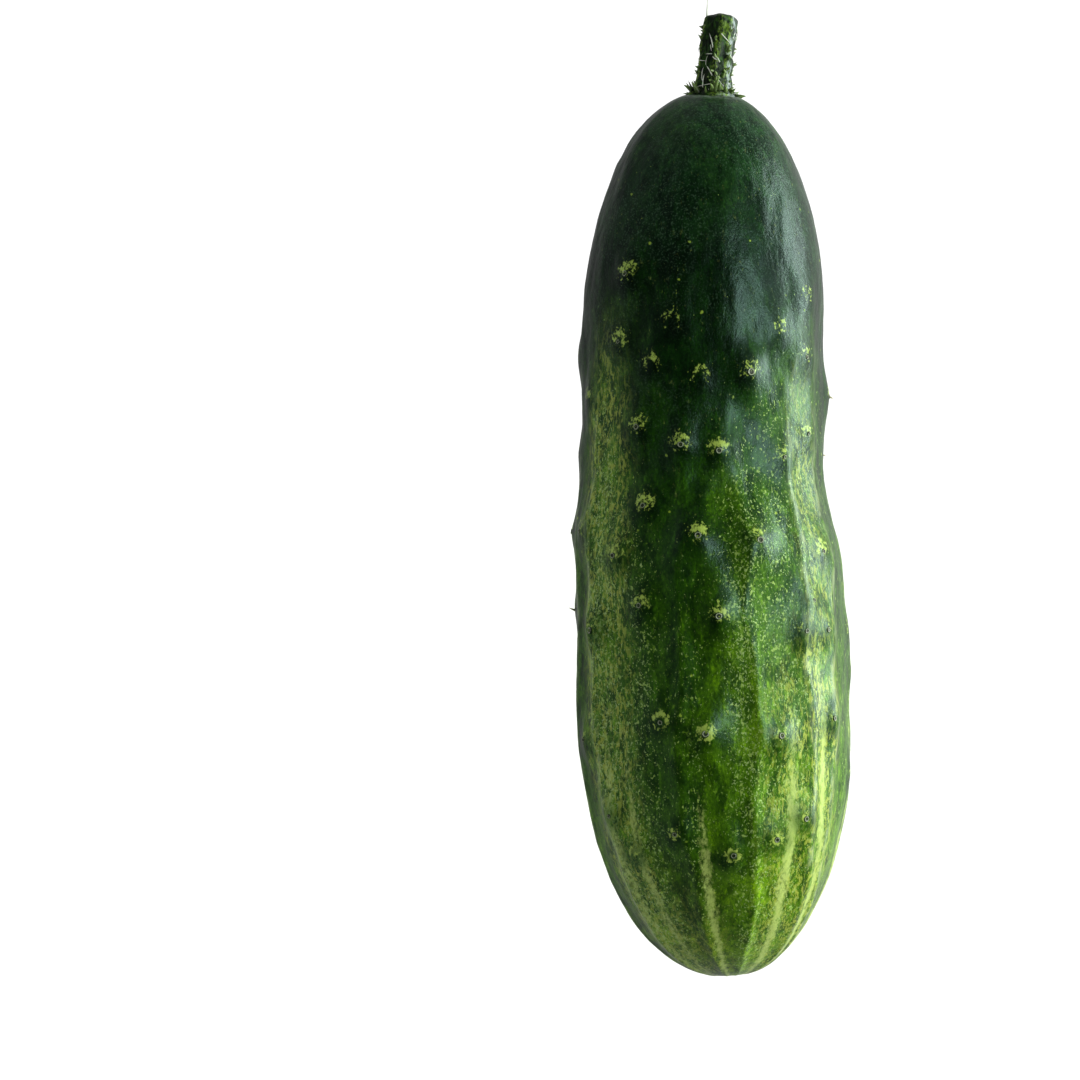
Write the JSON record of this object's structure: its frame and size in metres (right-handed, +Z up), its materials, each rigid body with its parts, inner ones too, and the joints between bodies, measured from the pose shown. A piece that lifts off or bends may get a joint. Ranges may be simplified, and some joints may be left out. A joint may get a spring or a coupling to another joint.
{
  "type": "cucumber",
  "caption": "Ridge cucumber as picked, lying on its side: a blunt-ended, slightly bowed fruit with low ribs and spiny warts, and the prickly cut stem it hung from.",
  "frame": {"origin": "on the surface the cucumber lies on, under the middle of its overall length and width", "axes": "+X along the fruit from the blossom end to the stem, +Z up, the inner side of its slight bow towards -Y"},
  "size_m": [0.1646, 0.048, 0.0459],
  "materials": {
    "skin": "waxy half-gloss skin, dark green at the stem end and lighter, speckled and striped at the blossom end",
    "stalk": "ribbed dark green stalk with pale bristles and a dull cut top"
  },
  "bodies": {
    "root": {"fruit": "skin", "stem": "stalk"}
  },
  "joints": []
}
